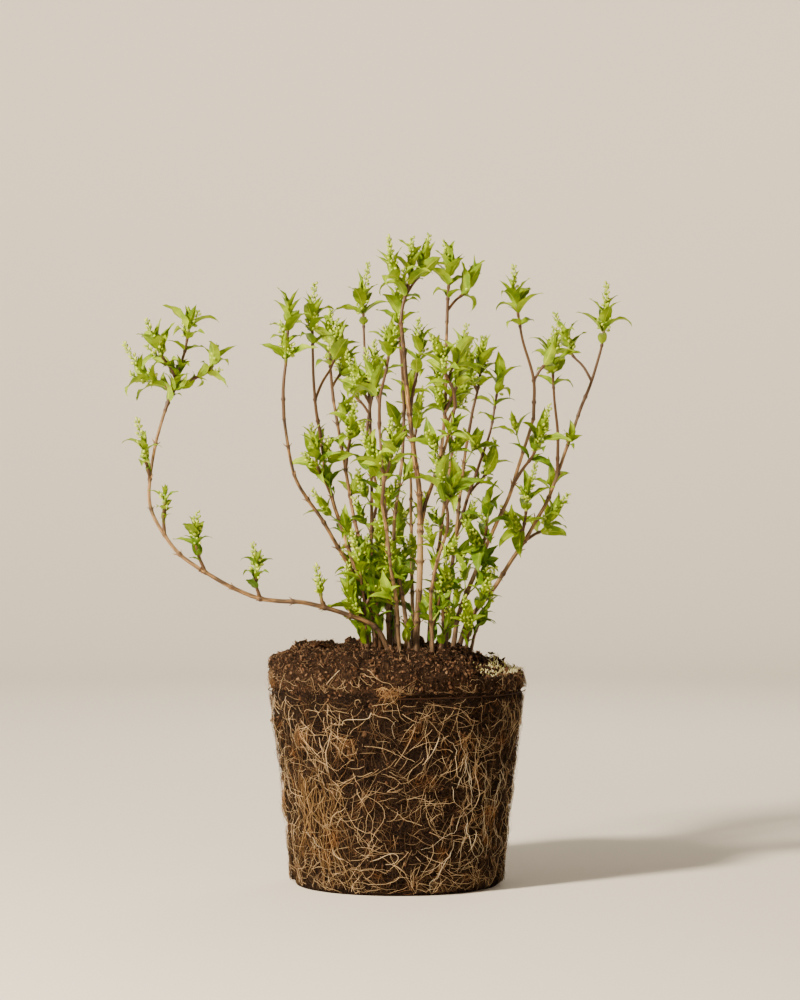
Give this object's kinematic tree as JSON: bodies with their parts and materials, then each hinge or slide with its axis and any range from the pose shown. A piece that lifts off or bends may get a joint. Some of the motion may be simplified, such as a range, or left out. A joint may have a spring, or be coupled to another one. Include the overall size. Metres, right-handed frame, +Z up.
{
  "type": "slender deutzia shrub on its root ball",
  "caption": "Many-stemmed spring shrub in bud, lifted from its pot, standing on its bare root ball with one long arching cane.",
  "frame": {"origin": "middle of the root ball's flat underside", "axes": "+Z up along the plant, +X to the right and +Y to the back as the picture shows it, so the arching cane reaches to -X"},
  "size_m": [0.3793, 0.3018, 0.4625],
  "materials": {
    "root_ball": "matte",
    "bark": "satin",
    "foliage": "satin"
  },
  "bodies": {
    "root": {"root_ball": "root_ball", "arching_cane_run": "bark", "arching_cane_rise": "bark", "left_cane": "bark", "forked_cane": "bark", "rear_left_cane": "bark", "middle_cane": "bark", "slim_cane": "bark", "inner_cane": "bark", "main_stem": "bark", "main_stem_left": "bark", "main_stem_right": "bark", "main_stem_front": "bark", "cut_stub": "bark", "front_cane": "bark", "rear_right_cane": "bark", "right_cane": "bark", "far_right_cane": "bark", "back_left_cane": "bark", "back_right_cane": "bark", "back_cane": "bark", "leaning_cane": "bark", "arch_crown": "foliage", "arch_side_tuft": "foliage", "arch_bend_tuft": "foliage", "arch_spray_left": "foliage", "arch_spray_middle": "foliage", "arch_spray_right": "foliage", "left_crown": "foliage", "forked_crown": "foliage", "forked_side_tuft": "foliage", "rear_left_crown": "foliage", "rear_left_tuft": "foliage", "middle_crown": "foliage", "middle_tuft": "foliage", "slim_crown": "foliage", "inner_crown": "foliage", "main_left_crown": "foliage", "main_left_tuft": "foliage", "summit_crown": "foliage", "main_right_tuft": "foliage", "main_front_crown": "foliage", "front_crown": "foliage", "rear_right_crown": "foliage", "rear_right_twig": "foliage", "right_crown": "foliage", "right_side_tuft": "foliage", "right_low_tuft": "foliage", "far_right_crown": "foliage", "far_right_tuft": "foliage", "far_right_panicle": "foliage", "far_right_low_tuft": "foliage", "base_left_shoots": "foliage", "base_back_shoots": "foliage", "base_middle_shoots": "foliage", "base_right_shoots": "foliage", "back_left_crown": "foliage", "back_right_crown": "foliage", "back_crown": "foliage", "leaning_crown": "foliage"}
  },
  "joints": []
}
